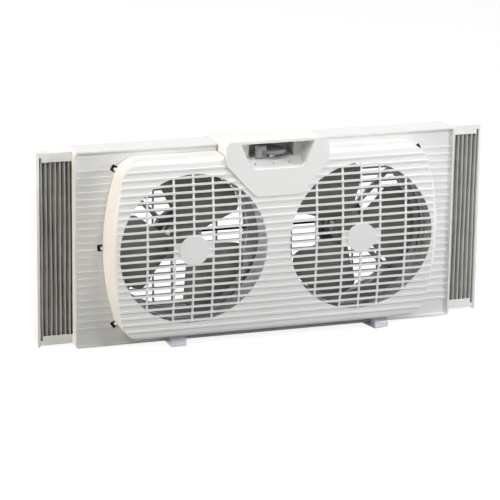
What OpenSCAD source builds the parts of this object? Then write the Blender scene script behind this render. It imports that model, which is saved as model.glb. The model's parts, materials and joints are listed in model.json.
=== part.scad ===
// Twin window fan with two domed grilles, a carry handle over the controls,
// swivel feet and a sliding pleated side panel at each end.
// Millimetres. X to the right, -Y towards the room, +Z up.
// The origin is on the surface that the feet stand on, at the middle of the fan's box.

/* [Housing] */
// Width of the housing, without the side panels
frame_w = 600; // [570:5:660]
// Height of the housing
frame_h = 300; // [296:2:330]
// Depth of the housing between its flat faces
frame_d = 48; // [46:1:60]
// Thickness of the housing's walls
wall = 2.5; // [2:0.1:3]
// How far the wing panels lie behind the front rim
panel_recess = 4; // [2:0.5:6]
// Depth of the front half of the housing
front_shell_d = 20; // [19:0.5:22]
// Rounding of the housing's corners in front view
frame_corner_r = 4; // [2:0.5:8]
// Height of the covers' lower edge above the housing's underside
cover_low_h = 15.5; // [14:0.5:17]
// Distance of the covers' upper edge below the housing's top
cover_top_drop = 11.5; // [10:0.5:16]
// Distance of each fan from the middle
fan_x = 132; // [128:1:140]

/* [Grille covers] */
// Half width of the front cover
cover_hw = 258; // [252:1:262]
// How far the front cover stands out from the front rim
cover_reach = 48.5; // [44:0.5:54]
// How far the rear cover stands out from the housing
rear_reach = 20.5; // [20:0.5:28]
// Depth of the rear block behind the handle
rear_block_d = 20; // [17:0.5:20]
// Radius of the bulged left and right edges in front view
side_bulge_r = 364; // [320:1:420]
// Radius of the corners in front view
cover_corner_r = 38; // [30:1:44]
// Radius of the front cover's upright curve
dome_r = 720; // [600:10:1200]
// Radius of the rear cover's upright curve
rear_dome_r = 1300; // [1200:10:2000]
// Rounding of the front cover's top and bottom edges
edge_r = 9; // [6:0.5:11]
// Rounding of the front cover's left and right edges
side_edge_r = 16; // [12:0.5:16]
// Rounding of the rear cover's left and right edges
rear_side_edge_r = 12; // [8:0.5:14]
// Rounding of the rear cover's top and bottom edges
rear_edge_r = 6; // [4:0.5:7]
// Thickness of the covers
cover_t = 2.5; // [2:0.1:3]
// Radius of each grille opening
grille_r = 114; // [110:0.5:115]
// Spacing of the grille's bars and of the ribs
rib_pitch = 11; // [10:0.5:13]
// Height of a grille bar
bar_h = 2.8; // [2.2:0.1:3.6]
// Height of a rib
rib_h = 3.2; // [2.6:0.1:4]
// Height of the lowest wing rib above the housing's underside
wing_rib_low = 28; // [24:0.5:34]
// How far a rib stands out
rib_proud = 1.2; // [0.6:0.1:1.8]
// Ribs above and below the centre line
rib_side_count = 11; // [9:1:11]
// Distance of the inner upright bars from a fan's centre
upright_in = 30; // [27:0.5:36]
// Distance of the outer upright bars from a fan's centre
upright_out = 71.5; // [60:0.5:80]
// Width of an upright bar
upright_w = 3; // [2.4:0.1:4]
// Radius of the disc over each hub
hub_disc_r = 22.5; // [18:0.5:26]
// How far the hub disc stands out from the dome
hub_disc_proud = 1.5; // [1.3:0.1:2]
// Height of the plate behind each hub disc
hub_plate_h = 24; // [20:1:28]
// Width of a cover's snap tab
tab_w = 4; // [3:0.5:5]
// Room round a snap tab in its slot
tab_room = 2; // [1.5:0.1:3]
// Angle of the corner snap tabs on the corners' curve
tab_angle = 31; // [15:1:60]

/* [Controls] */
// Half width of the control housing
shield_hw = 81; // [78:1:86]
// Half width of the shield's lower edge
shield_low_hw = 36; // [32:1:42]
// Distance of the shield's lower edge below the housing's top
shield_low_drop = 74; // [68:1:78]
// Distance below the housing's top at which the shield's sides start to slant
shield_knee_drop = 24; // [18:1:30]
// How far the handle rises above the housing
handle_rise = 9; // [5:0.5:12]
// Distance of the shield's lower edge in front of the rim
shield_low_reach = 46.5; // [46:0.5:52]
// Distance of the handle's front in front of the rim
handle_reach = 38; // [36:0.5:42]
// Rounding of the shield's corners
shield_corner_r = 9; // [6:0.5:12]
// Half width of the recess at its top
recess_top_hw = 59; // [54:1:62]
// Half width of the recess at its bottom
recess_low_hw = 41; // [38:1:46]
// Distance of the recess's lower edge below the housing's top
recess_low_drop = 34; // [32:1:36]
// Thickness of the handle bar at its front
handle_t = 4; // [3.5:0.5:6]
// Depth of the recess
recess_d = 31; // [29:0.5:34]
// Distance of the dial floor below the housing's top
dial_floor_drop = 23; // [21:0.5:24]
// Half width of the knob's window
knob_window_hw = 35.5; // [33:0.5:38]
// Radius of the knob's disc
knob_r = 22.5; // [20:0.5:23]
// Distance of the grip from the knob's axis
grip_r = 23; // [20:0.5:24]
// Width of the knob's grip
grip_w = 12; // [9:0.5:12.5]
// Height of the knob's grip
grip_h = 17; // [14:0.5:17]
// Swing of the knob from its first to its last position, in degrees
knob_swing = 134; // [90:2:140]
// Radius of the switch spindle
spindle_r = 3; // [2.5:0.1:3.5]

/* [Fans] */
// Radius of the fan blades
blade_r = 108; // [100:1:109]
// Number of blades
blade_count = 3; // [3:1:5]
// Angle that one blade covers, in degrees
blade_sweep = 84; // [60:2:86]
// Depth of a blade from edge to edge
blade_rise = 24; // [18:1:28]
// Thickness of a blade
blade_t = 2; // [1.6:0.1:2.6]
// Radius of the impeller's hub
hub_r = 27; // [24:0.5:29]
// Depth of the impeller's hub
hub_d = 22; // [18:0.5:24]
// Radius inside the ducts
duct_r = 114; // [113:0.5:115]
// Radius of the motor shaft
shaft_r = 4; // [3:0.1:5]
// Radius of the motor's body
motor_r = 30; // [27:0.5:32]
// Radius of the motor's flange
motor_flange_r = 39; // [37:0.5:42]
// Length of the motor's body
motor_len = 42; // [38:0.5:43]
// Outer radius of a motor bearing
bearing_r = 8; // [7:0.2:10]
// Width of a motor bearing
bearing_w = 6; // [5:0.2:7]
// Width of a motor support arm
arm_w = 7; // [5:0.5:9]

/* [Side panels] */
// How far each side panel stands out at rest
panel_out = 53.5; // [45:0.5:60]
// Thickness of the end rail
end_rail_t = 4.5; // [3.5:0.1:6]
// Depth of the rails
rail_d = 19; // [17:0.5:19]
// Height of the top and bottom rails
rail_h = 14; // [12:0.5:15]
// Length of the top and bottom rails
rail_len = 190; // [180:1:195]
// Thickness of the rails' walls
rail_t = 1.5; // [1.2:0.1:2]
// Spacing of the pleats at rest
pleat_pitch = 6.6; // [5.5:0.1:8]
// Thickness of the pleated sheet
sheet_t = 0.8; // [0.6:0.05:1]
// Depth of the pleats
pleat_d = 14; // [11:0.5:14.5]

/* [Feet] */
// Thickness of a foot's sole
sole_t = 3.7; // [3:0.1:5]
// Width of a foot
foot_w = 25; // [22:0.5:30]
// Distance of the left foot from the middle
left_foot_x = 147; // [130:1:185]
// Distance of the right foot from the middle
right_foot_x = 172; // [130:1:185]
// Distance from a foot's pivot to its front tip
foot_front = 34; // [32:0.5:38]
// Distance from a foot's pivot to its back tip
foot_back = 56; // [55:0.5:62]
// Height of a foot's hood
hood_h = 17; // [13:0.5:18]
// Length of a foot's hood
hood_len = 13; // [11:0.5:13.5]
// Radius of a foot's pivot peg
peg_r = 4; // [3:0.1:5]
// Turn of the right foot at rest, in degrees
right_foot_turn = 14; // [0:1:18]

/* [Fits] */
// Gap between pieces that don't slide on each other
gap = 0.3; // [0.2:0.05:0.4]
// Radial clearance of a turning fit
run_fit = 0.05; // [0.03:0.01:0.08]
// Radial clearance of a pressed fit
press_fit = 0.02; // [0.01:0.01:0.05]

/* [Screws] */
// Radius of a housing screw
screw_r = 1.8; // [1.5:0.1:2]
// Radius of a screw's head
screw_head_r = 3.5; // [3:0.1:4]
// Outer radius of a screw post
post_r = 5; // [4.5:0.1:6]

/* [Hidden] */
sides = [-1, 1];

// Places along Z
frame_z = sole_t + gap;
frame_top = frame_z + frame_h;
cover_hh = (frame_h - cover_low_h - cover_top_drop) / 2;
fan_z = frame_z + cover_low_h + cover_hh;

// Places along Y
reach_front = cover_reach + hub_disc_proud;
reach_rear = rear_reach + hub_disc_proud;
rim_y = -(reach_front + frame_d + reach_rear) / 2 + reach_front;
back_y = rim_y + frame_d;
panel_y = rim_y + panel_recess;
split_y = rim_y + front_shell_d;

// Side pocket in which the side panels slide
rail_y = split_y + gap;
pocket_back_y = rail_y + rail_d + gap;
rail_low_z = frame_z + wall + gap;
rail_top_z = frame_top - wall - gap;
end_x = frame_w / 2 + panel_out;
rail_x = end_x - end_rail_t;
pocket_wall_x = frame_w / 2 - 36;

// Housing pieces that the feet and the cover's tabs pass through
peg_y = panel_y + wall + 5.5;
socket_h = 8;
foot_places = [-left_foot_x, right_foot_x];

// Fan parts along Y
seat_t = 5;
seat_y = back_y - seat_t;
flange_t = 3;
motor_y = seat_y - flange_t - 18;
hub_y = motor_y - gap * 4;
duct_y = rim_y - 6;
duct_t = wall;

// Controls
shield_top_z = frame_top + handle_rise;
recess_low_z = frame_top - recess_low_drop;
recess_back_y = rim_y - handle_reach + recess_d;
floor_z = frame_top - dial_floor_drop;
knob_y = recess_back_y + 3;
disc_z = floor_z + 7.5;
disc_t = 4;
skin = 3;
lip = 5;
through = 200;
handle_slope = handle_rise / handle_reach;
pocket_end_y = knob_y + knob_r + 2.5;

screw_x = fan_x + 80;
screw_low_z = frame_z + cover_low_h + 28.5;
screw_high_z = frame_top - 40;
screw_places = [for (z = [screw_low_z, screw_high_z], s = sides) [s * screw_x, z],
    [0, screw_low_z - 4], [0, frame_top - shield_low_drop - 10]];

// Corner arcs are drawn this much larger, so that they cross the curves they join instead of touching them
outline_over = 1.01;
profile_over = 1.003;

// Front outline with bulged sides and round corners, centred on the origin
module bulged(hw, hh, side_r, corner_r, over = outline_over) {
    cx = corner_x(hw, hh, side_r, corner_r);
    square([2 * cx, 2 * hh], center = true);
    intersection() {
        translate([hw - side_r, 0]) circle(r = side_r, $fn = 180);
        translate([side_r - hw, 0]) circle(r = side_r, $fn = 180);
        square([2 * hw, 2 * side_end(hh, side_r, corner_r)], center = true);
    }
    for (sx = sides, sz = sides)
        translate([sx * cx, sz * (hh - corner_r)]) circle(r = corner_r * over, $fn = 90);
}

// Distance of the corner arcs' centres from the middle
function corner_x(hw, hh, side_r, corner_r) =
    hw - side_r + sqrt(pow(side_r - corner_r, 2) - pow(hh - corner_r, 2));

// Height at which a side arc ends and a corner arc begins
function side_end(hh, side_r, corner_r) = (hh - corner_r) * side_r / (side_r - corner_r);

// Disc whose far edge is rounded
module round_puck(r, h, edge) {
    rotate_extrude($fn = 180) {
        square([r - edge, h]);
        square([r, h - edge]);
        intersection() {
            translate([r - edge, h - edge]) circle(r = edge, $fn = 48);
            square([r, h]);
        }
    }
}

// Half widths, reach, curve and edge radii of each cover
front_form = [cover_hw, cover_hh, cover_reach + panel_recess, dome_r, edge_r, side_edge_r];
rear_form = [cover_hw, cover_hh, rear_reach, rear_dome_r, rear_edge_r, rear_side_edge_r];

// Solid dome with its face towards -Y and its back on y = 0, or behind it by back, drawn smaller by the inset
module dome(form, inset = 0, ribs = false, back = 0) {
    reach = form[2] + back;
    w = form[0] - inset;
    h = form[1] - inset;
    side_r = side_bulge_r - inset;
    corner_r = cover_corner_r - inset;
    cx = corner_x(w, h, side_r, corner_r);
    d = reach - inset + 2;
    side_edge = form[5] - inset;
    translate([0, back, 0]) intersection() {
        rotate([90, 0, 0]) {
            translate([-cx, -h, 0]) cube([2 * cx, 2 * h, d]);
            intersection() {
                translate([w - side_r, 0, 0]) round_puck(side_r, d, side_edge);
                translate([side_r - w, 0, 0]) round_puck(side_r, d, side_edge);
                translate([-w, -side_end(h, side_r, corner_r), 0]) cube([2 * w, 2 * side_end(h, side_r, corner_r), d]);
            }
            for (sx = sides, sz = sides)
                translate([sx * cx, sz * (h - corner_r), 0]) round_puck(corner_r * outline_over, d, side_edge);
        }
        along_x(2 * w + 2) {
            dome_profile(h, reach - inset, form[3] - inset, form[4] - inset);
            if (ribs) rib_profile(reach);
        }
    }
}

// Side view of the dome: x runs along -Z and y along Y
module dome_profile(hh, reach, curve_r, edge) {
    intersection() {
        rotate(90) bulged(reach, hh, curve_r, edge, profile_over);
        translate([-hh - 1, -reach - 1]) square([2 * hh + 2, reach + 1]);
    }
}

// Side view of the ribs that stand out of the dome
module rib_profile(reach) {
    for (k = [-rib_side_count:rib_side_count]) {
        drop = dome_r - sqrt(dome_r * dome_r - pow(k * rib_pitch, 2));
        translate([k * rib_pitch - rib_h / 2, -reach + drop - rib_proud]) square([rib_h, rib_proud + 1.5]);
    }
}

// Extrudes a side view along X, both ways from the middle
module along_x(length) {
    translate([-length / 2, 0, 0]) rotate([0, 90, 0]) linear_extrude(height = length) children();
}

// Extrudes a front view, whose y is Z, from y = 0 towards -Y
module along_y(length) {
    rotate([90, 0, 0]) linear_extrude(height = length) children();
}

// Openings between the bars of one grille, in front view about the fan's centre
module grille_gaps() {
    difference() {
        circle(r = grille_r, $fn = 180);
        for (k = [-rib_side_count:rib_side_count])
            translate([-grille_r - 1, k * rib_pitch - bar_h / 2]) square([2 * grille_r + 2, bar_h]);
        for (x = [-upright_out, -upright_in, 0, upright_in, upright_out])
            translate([x - upright_w / 2, -grille_r - 1]) square([upright_w, 2 * grille_r + 2]);
        square([2 * upright_in, hub_plate_h], center = true);
        circle(r = hub_disc_r, $fn = 96);
    }
}

// Domed grille cover: a shell with ribs, bars and a disc over each hub
module grille_cover(form, ribs) {
    reach = form[2];
    difference() {
        union() {
            dome(form, 0, ribs);
            for (s = sides)
                translate([s * fan_x, -reach / 2, 0]) along_y(reach / 2 + hub_disc_proud) circle(r = hub_disc_r, $fn = 96);
        }
        dome(form, cover_t, false, 1);
        for (s = sides)
            translate([s * fan_x, 1, 0]) along_y(reach + rib_proud + 4) grille_gaps();
    }
}

// Places of the six snap tabs: position and direction out of the cover's edge
tab_corner_x = corner_x(cover_hw, cover_hh, side_bulge_r, cover_corner_r) + cover_corner_r * cos(tab_angle);
tab_corner_z = cover_hh - cover_corner_r + cover_corner_r * sin(tab_angle);
tab_places = [for (s = sides, t = [-1, 0, 1]) t == 0 ? [s * cover_hw, 0, s > 0 ? 0 : 180]
    : [s * tab_corner_x, t * tab_corner_z, s > 0 ? t * tab_angle : 180 - t * tab_angle]];

module at_tabs() {
    for (p = tab_places)
        translate([p[0], 0, fan_z + p[1]]) rotate([0, -p[2], 0]) children();
}

// Convex outline with true arcs at its corners, drawn smaller all round by the inset
module soft_polygon(pts, radii, inset = 0) {
    n = len(pts);
    corners = [for (i = [0:n - 1])
        let (a = unit(pts[(i + n - 1) % n] - pts[i]), b = unit(pts[(i + 1) % n] - pts[i]), mid = unit(a + b),
            half = acos(a * b) / 2, p = pts[i] + mid * inset / sin(half), r = radii[i] > 0 ? radii[i] - inset : 0)
        [p + a * r / tan(half), p + b * r / tan(half), p + mid * r / sin(half), r]];
    polygon([for (c = corners, k = [0:c[3] > 0 ? 1 : 0]) c[k]]);
    for (c = corners)
        if (c[3] > 0) translate(c[2]) circle(r = c[3], $fn = 72);
}
function unit(v) = v / norm(v);

shield_points = [[-shield_hw, shield_top_z], [-shield_hw, frame_top - shield_knee_drop],
    [-shield_low_hw, frame_top - shield_low_drop], [shield_low_hw, frame_top - shield_low_drop],
    [shield_hw, frame_top - shield_knee_drop], [shield_hw, shield_top_z]];

module shield_outline(inset = 0) {
    soft_polygon(shield_points, [for (k = [1, 1.6, 1.6, 1.6, 1.6, 1]) k * shield_corner_r], inset);
}

// The same outline with sharp corners, for the edges hidden under the shield
module shield_seat(inset) {
    soft_polygon(shield_points, [for (p = shield_points) 0], inset);
}

module recess_outline(inset = 0) {
    soft_polygon([[-recess_top_hw, shield_top_z], [-recess_low_hw, recess_low_z], [recess_low_hw, recess_low_z],
        [recess_top_hw, shield_top_z]], [0, 14, 14, 0], inset);
}

// Side view of the shield and handle, x along -Z, open at the back where it is drawn smaller
module shield_profile(inset = 0) {
    low_z = frame_top - shield_low_drop - inset * 2;
    back = rim_y + inset;
    polygon([[-shield_top_z + inset, rim_y - handle_reach + inset], [-low_z, rim_y - shield_low_reach + inset],
        [-low_z, back], [-frame_top + inset * (1 + handle_slope), back]]);
}

// Side view of the recess under the handle, drawn larger all round by the outset
module recess_profile(outset = 0) {
    front = rim_y - handle_reach;
    slope = (floor_z - recess_low_z) / recess_d;
    run = 20;
    back = recess_back_y + outset;
    top_front = shield_top_z - handle_t + outset;
    polygon([[-top_front - run * handle_slope, front - run], [-recess_low_z + run * slope + outset, front - run],
        [-floor_z + outset, back], [-top_front + (back - front) * handle_slope, back]]);
}

// The front cover's solid, drawn larger all round by the outset
module front_dome_at(outset) {
    translate([0, panel_y, fan_z]) dome(front_form, -outset);
}

// Box with rounded upright edges in front view, from y = 0 towards Y
module frame_box(depth, inset = 0) {
    translate([0, depth, 0]) along_y(depth)
        soft_polygon([[-frame_w / 2, frame_z], [frame_w / 2, frame_z], [frame_w / 2, frame_top],
            [-frame_w / 2, frame_top]], [for (k = [1:4]) frame_corner_r], inset);
}

module front_housing() {
    color("whitesmoke")
    difference() {
        union() {
            difference() {
                translate([0, rim_y, 0]) frame_box(front_shell_d);
                translate([0, rim_y - 1, 0]) frame_box(front_shell_d + 2, wall);
            }
            translate([0, panel_y, 0]) frame_box(wall, wall / 2);
            wing_ribs();
            for (p = screw_places) translate([p[0], panel_y + 1, p[1]]) rotate([-90, 0, 0])
                cylinder(r = post_r, h = split_y - panel_y - 1 - gap, $fn = 48);
            for (x = foot_places) translate([x, peg_y, frame_z + 1]) cylinder(r = peg_r + 3, h = socket_h - 1, $fn = 48);
        }
        for (s = sides) translate([s * fan_x, 0, fan_z]) rotate([90, 0, 0])
            cylinder(r = duct_r + duct_t + gap, h = 80, center = true, $fn = 180);
        for (x = foot_places) translate([x, peg_y, 0]) cylinder(r = peg_r + run_fit, h = 40, $fn = 48);
        for (p = screw_places) translate([p[0], panel_y + wall + 0.5, p[1]]) rotate([-90, 0, 0])
            cylinder(r = screw_r, h = 40, $fn = 32);
        translate([-shield_hw - gap, rim_y - 1, frame_top - wall - 1]) cube([2 * (shield_hw + gap), 60, 10]);
        translate([-knob_window_hw - skin - 3, rim_y - 1, lead_bend_z - lead_r - 3])
            cube([2 * (knob_window_hw + skin + 3), 60, frame_h]);
        at_tabs() translate([0, panel_y - 1, -tab_w / 2 - tab_room])
            cube([tab_w + tab_room, wall + 2, tab_w + 2 * tab_room]);
    }
}

// Ribs on the wing panels, from the rim to just beside the cover
module wing_ribs() {
    difference() {
        for (k = [0:floor((frame_h - 2 * wing_rib_low) / rib_pitch)])
            translate([-frame_w / 2 + 1, panel_y - rib_proud, frame_z + wing_rib_low + k * rib_pitch - rib_h / 2])
                cube([frame_w - 2, rib_proud + 1, rib_h]);
        translate([0, panel_y + 0.5, fan_z]) along_y(10)
            bulged(cover_hw + gap, cover_hh + gap, side_bulge_r + gap, cover_corner_r + gap);
        at_tabs() translate([-3, panel_y - 9.5, -tab_w / 2 - tab_room - 1])
            cube([tab_w + tab_room + 5, 10, tab_w + 2 * tab_room + 2]);
    }
}

module rear_housing() {
    depth = back_y - split_y;
    color("whitesmoke")
    difference() {
        union() {
            difference() {
                translate([0, split_y, 0]) frame_box(depth);
                translate([0, split_y - 1, 0]) frame_box(depth + 1 - wall, wall);
                for (s = sides) translate([s * frame_w / 2 - 5, split_y - 1, frame_z + wall])
                    cube([10, pocket_back_y - split_y + 1, frame_h - 2 * wall]);
            }
            for (s = sides) {
                translate([s * fan_x, back_y, fan_z]) rotate([90, 0, 0])
                    cylinder(r = duct_r + duct_t, h = back_y - duct_y, $fn = 180);
                translate([s * (pocket_wall_x - 1) - 1, rail_y + gap, frame_z + 20])
                    cube([2, back_y - rail_y - 1, frame_h - 40]);
            }
            for (p = screw_places) translate([p[0], back_y - 1, p[1]]) rotate([90, 0, 0])
                cylinder(r = post_r, h = back_y - 1 - split_y, $fn = 48);
        }
        for (s = sides) translate([s * fan_x, 0, fan_z]) rotate([90, 0, 0])
            cylinder(r = duct_r, h = through, center = true, $fn = 180);
        for (p = screw_places) translate([p[0], split_y - 1, p[1]]) rotate([-90, 0, 0])
            cylinder(r = screw_r + 0.3, h = 60, $fn = 32);
        for (s = sides) translate([s * lead_x, 0, fan_z]) rotate([90, 0, 0])
            cylinder(r = lead_r + gap, h = through, center = true, $fn = 32);
        translate([inlet_x, 0, inlet_z]) rotate([90, 0, 0]) cylinder(r = inlet_r, h = through, center = true, $fn = 48);
        translate([-shield_hw - gap, split_y - 1, frame_top - wall - 1]) cube([2 * (shield_hw + gap), 60, 10]);
    }
    for (s = sides) color("whitesmoke") translate([s * fan_x, 0, fan_z]) motor_spider();
}

// Ring and arms that carry one motor in its duct
module motor_spider() {
    seat_out = motor_flange_r + 1;
    difference() {
        union() {
            translate([0, back_y, 0]) rotate([90, 0, 0]) cylinder(r = seat_out, h = seat_t, $fn = 96);
            for (a = [45:90:315]) rotate([0, a, 0])
                translate([seat_out - 2, seat_y, -arm_w / 2]) cube([duct_r - seat_out + 3, seat_t, arm_w]);
        }
        translate([0, back_y + 1, 0]) rotate([90, 0, 0]) cylinder(r = motor_r + gap, h = seat_t + 2, $fn = 96);
        for (a = [0:90:270]) rotate([0, a, 0]) translate([motor_screw_r, back_y + 1, 0]) rotate([90, 0, 0])
            cylinder(r = motor_screw_shank, h = seat_t + 2, $fn = 24);
    }
}

motor_screw_r = (motor_r + gap + motor_flange_r) / 2;
motor_screw_shank = 1.5;
motor_screw_head = 2.6;

module front_cover() {
    color("white") {
        difference() {
            translate([0, panel_y, fan_z]) grille_cover(front_form, true);
            translate([0, rim_y + 20, 0]) along_y(100) shield_seat(lip - gap);
            difference() {
                translate([0, rim_y - 5, 0]) along_y(100) shield_seat(-gap);
                front_dome_at(gap / 3);
            }
        }
        at_tabs() cover_tab();
    }
}

// Snap tab at the cover's edge: a root on the cover, a leg through the slot and a hook behind the panel
module cover_tab() {
    translate([-cover_t + 0.5, panel_y - 5, -tab_w / 2]) cube([tab_w + cover_t - 1, 4.5, tab_w]);
    translate([gap, panel_y - 4, -tab_w / 2]) cube([tab_w - 0.5 - gap, wall + 6.5, tab_w]);
    translate([tab_w - 1, panel_y + wall + gap, -tab_w / 2]) cube([tab_room + 1.5, 2, tab_w]);
}

module rear_cover() {
    color("whitesmoke")
    difference() {
        union() {
            translate([0, back_y, fan_z]) mirror([0, 1, 0]) grille_cover(rear_form, false);
            rear_block();
            intersection() {
                for (p = screw_places) translate([p[0], back_y, p[1]]) rotate([-90, 0, 0])
                    cylinder(r = screw_head_r + 2.5, h = rear_reach, $fn = 48);
                translate([0, back_y, fan_z]) mirror([0, 1, 0]) dome(rear_form, cover_t / 2);
            }
        }
        for (p = screw_places) translate([p[0], back_y, p[1]]) rotate([-90, 0, 0]) {
            translate([0, 0, -1]) cylinder(r = screw_r + gap, h = 60, $fn = 32);
            translate([0, 0, screw_seat]) cylinder(r = screw_head_r + 0.5, h = 60, $fn = 32);
        }
    }
}

screw_seat = 4;
screw_head_h = 2.4;
screw_reach = 8;

rear_block_h = 58;

// Block at the top of the rear cover that carries the handle's line to the back
module rear_block() {
    low_z = frame_top - rear_block_h;
    difference() {
        translate([-shield_hw, back_y, low_z]) cube([2 * shield_hw, rear_block_d, frame_top - low_z]);
        translate([-shield_hw + skin, back_y - 1, low_z - 1])
            cube([2 * (shield_hw - skin), rear_block_d + 1 - skin, frame_top - low_z + 1 - skin]);
        translate([0, back_y, fan_z]) mirror([0, 1, 0]) dome(rear_form, cover_t / 2);
    }
}

module control_housing() {
    pocket_hw = knob_window_hw + skin;
    color("white")
    difference() {
        union() {
            difference() {
                control_solid();
                control_solid(skin);
            }
            intersection() {
                control_solid();
                translate([0, recess_back_y + skin, 0]) along_y(80) recess_outline(-skin);
                along_x(through) recess_profile(skin);
            }
            translate([-shield_hw, rim_y - 1, frame_top - wall]) cube([2 * shield_hw, frame_d + 1 - gap, wall]);
            translate([-pocket_hw, recess_back_y, floor_z - skin])
                cube([2 * pocket_hw, pocket_end_y + skin - recess_back_y, frame_top - 1 - floor_z + skin]);
        }
        intersection() {
            translate([0, recess_back_y, 0]) along_y(80) recess_outline();
            along_x(through) recess_profile();
        }
        translate([-knob_window_hw, recess_back_y - 1, floor_z])
            cube([2 * knob_window_hw, pocket_end_y + 1 - recess_back_y, frame_top - skin - floor_z]);
        translate([0, knob_y, floor_z - 10]) cylinder(r = bush_r + gap, h = 15, $fn = 48);
        difference() {
            front_dome_at(gap);
            translate([0, rim_y + 20, 0]) along_y(100) shield_seat(lip);
        }
    }
}

// Outer form of the shield and handle, or with an inset the hollow in it
module control_solid(inset = 0) {
    intersection() {
        along_x(2 * shield_hw + 2) shield_profile(inset);
        translate([0, rim_y + 5, 0]) along_y(80) shield_outline(inset);
    }
}

bush_r = 4.5;
switch_top = recess_low_z - 1;
switch_h = 22;
shoulder_w = 15;

module rotary_switch() {
    color("dimgray")
    difference() {
        union() {
            translate([-17, knob_y - 13, switch_top - switch_h]) cube([34, 26, switch_h]);
            translate([-shoulder_w / 2, knob_y + gap, switch_top - 1])
                cube([shoulder_w, shoulder_w / 2, floor_z - skin - switch_top + 1]);
            translate([0, knob_y, switch_top]) cylinder(r = bush_r, h = floor_z + 3.2 - switch_top, $fn = 48);
        }
        translate([0, knob_y, switch_top - 12]) cylinder(r = spindle_r + run_fit, h = 40, $fn = 48);
    }
}

module switch_nut() {
    color("silver")
    difference() {
        translate([0, knob_y, floor_z]) cylinder(r = 7, h = 2.2, $fn = 6);
        translate([0, knob_y, floor_z - 1]) cylinder(r = bush_r + press_fit, h = 10, $fn = 48);
    }
}

module switch_spindle() {
    color("silver") translate([0, knob_y, switch_top - 11]) cylinder(r = spindle_r, h = disc_z + 3 - switch_top + 11, $fn = 48);
}

knob_rest = -knob_swing / 2;

// Disc knob with an upright grip on its rim
module knob() {
    color("darkgray")
    translate([0, knob_y, disc_z]) rotate(knob_rest)
    difference() {
        union() {
            cylinder(r = knob_r, h = disc_t - 1, $fn = 96);
            translate([0, 0, disc_t - 1]) cylinder(r1 = knob_r, r2 = knob_r - 1, h = 1, $fn = 96);
            translate([0, 0, -2.5]) cylinder(r = spindle_r + 4, h = 3, $fn = 64);
            translate([-grip_w / 2, -grip_r, disc_t + 7 - grip_h]) cube([grip_w, 10, grip_h]);
            translate([0, -grip_r, disc_t + 7 - grip_h]) cylinder(r = grip_w / 2, h = grip_h, $fn = 48);
        }
        translate([0, 0, -10]) cylinder(r = spindle_r + press_fit, h = 10 + 3 + gap, $fn = 48);
    }
}

lead_r = 2;
lead_x = 9.5;
lead_y = split_y + 18;
lead_back_y = back_y + 6;
lead_bend_z = switch_top - switch_h - gap - 4;

// Sleeved leads from the switch to each motor
module motor_leads() {
    start = [0, knob_y + 6, switch_top - switch_h - gap];
    bend_z = lead_bend_z;
    color("black") for (s = sides) {
        x = s * lead_x;
        translate([x, start[1], bend_z]) cylinder(r = lead_r, h = start[2] - bend_z, $fn = 24);
        translate([x, start[1], bend_z]) sphere(r = lead_r, $fn = 24);
        translate([x, start[1], bend_z]) rotate([-90, 0, 0]) cylinder(r = lead_r, h = lead_y - start[1], $fn = 24);
        translate([x, lead_y, bend_z]) sphere(r = lead_r, $fn = 24);
        translate([x, lead_y, fan_z]) cylinder(r = lead_r, h = bend_z - fan_z, $fn = 24);
        translate([x, lead_y, fan_z]) sphere(r = lead_r, $fn = 24);
        translate([x, lead_y, fan_z]) rotate([-90, 0, 0]) cylinder(r = lead_r, h = lead_back_y - lead_y, $fn = 24);
        translate([x, lead_back_y, fan_z]) sphere(r = lead_r, $fn = 24);
        translate([x, lead_back_y, fan_z]) rotate([0, s * 90, 0])
            cylinder(r = lead_r, h = fan_x - lead_x - motor_r - gap, $fn = 24);
    }
}

inlet_r = 4.5;
inlet_len = 10;
inlet_x = 60;
inlet_z = frame_z + wall + inlet_r + 1.7;

module cord_inlet() {
    color("black") translate([inlet_x, back_y, inlet_z]) rotate([90, 0, 0])
    difference() {
        union() {
            translate([0, 0, -2]) cylinder(r = inlet_r + 1.2, h = 2 - gap, $fn = 48);
            translate([0, 0, -1]) cylinder(r = inlet_r - press_fit, h = inlet_len, $fn = 48);
            translate([0, 0, wall + gap]) cylinder(r = inlet_r + 1.2, h = 2, $fn = 48);
        }
        translate([0, 0, -5]) cylinder(r = inlet_r - 1.5, h = 2 * inlet_len, $fn = 48);
    }
}

module housing_screws() {
    color("silver") for (p = screw_places)
        translate([p[0], back_y + screw_seat, p[1]]) rotate([90, 0, 0]) {
            translate([0, 0, -screw_head_h]) cylinder(r = screw_head_r, h = screw_head_h, $fn = 32);
            translate([0, 0, -1]) cylinder(r = screw_r - press_fit, h = back_y + screw_seat + 1 - split_y + screw_reach, $fn = 32);
        }
}

module motor_screws() {
    color("silver") for (s = sides, a = [0:90:270])
        translate([s * fan_x, 0, fan_z]) rotate([0, a, 0]) translate([motor_screw_r, 0, 0]) rotate([-90, 0, 0]) {
            translate([0, 0, seat_y - flange_t - 1.8]) cylinder(r = motor_screw_head, h = 1.8, $fn = 24);
            translate([0, 0, seat_y - flange_t - 1]) cylinder(r = motor_screw_shank - press_fit, h = flange_t + seat_t, $fn = 24);
        }
}

motor_back_y = motor_y + motor_len;

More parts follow.
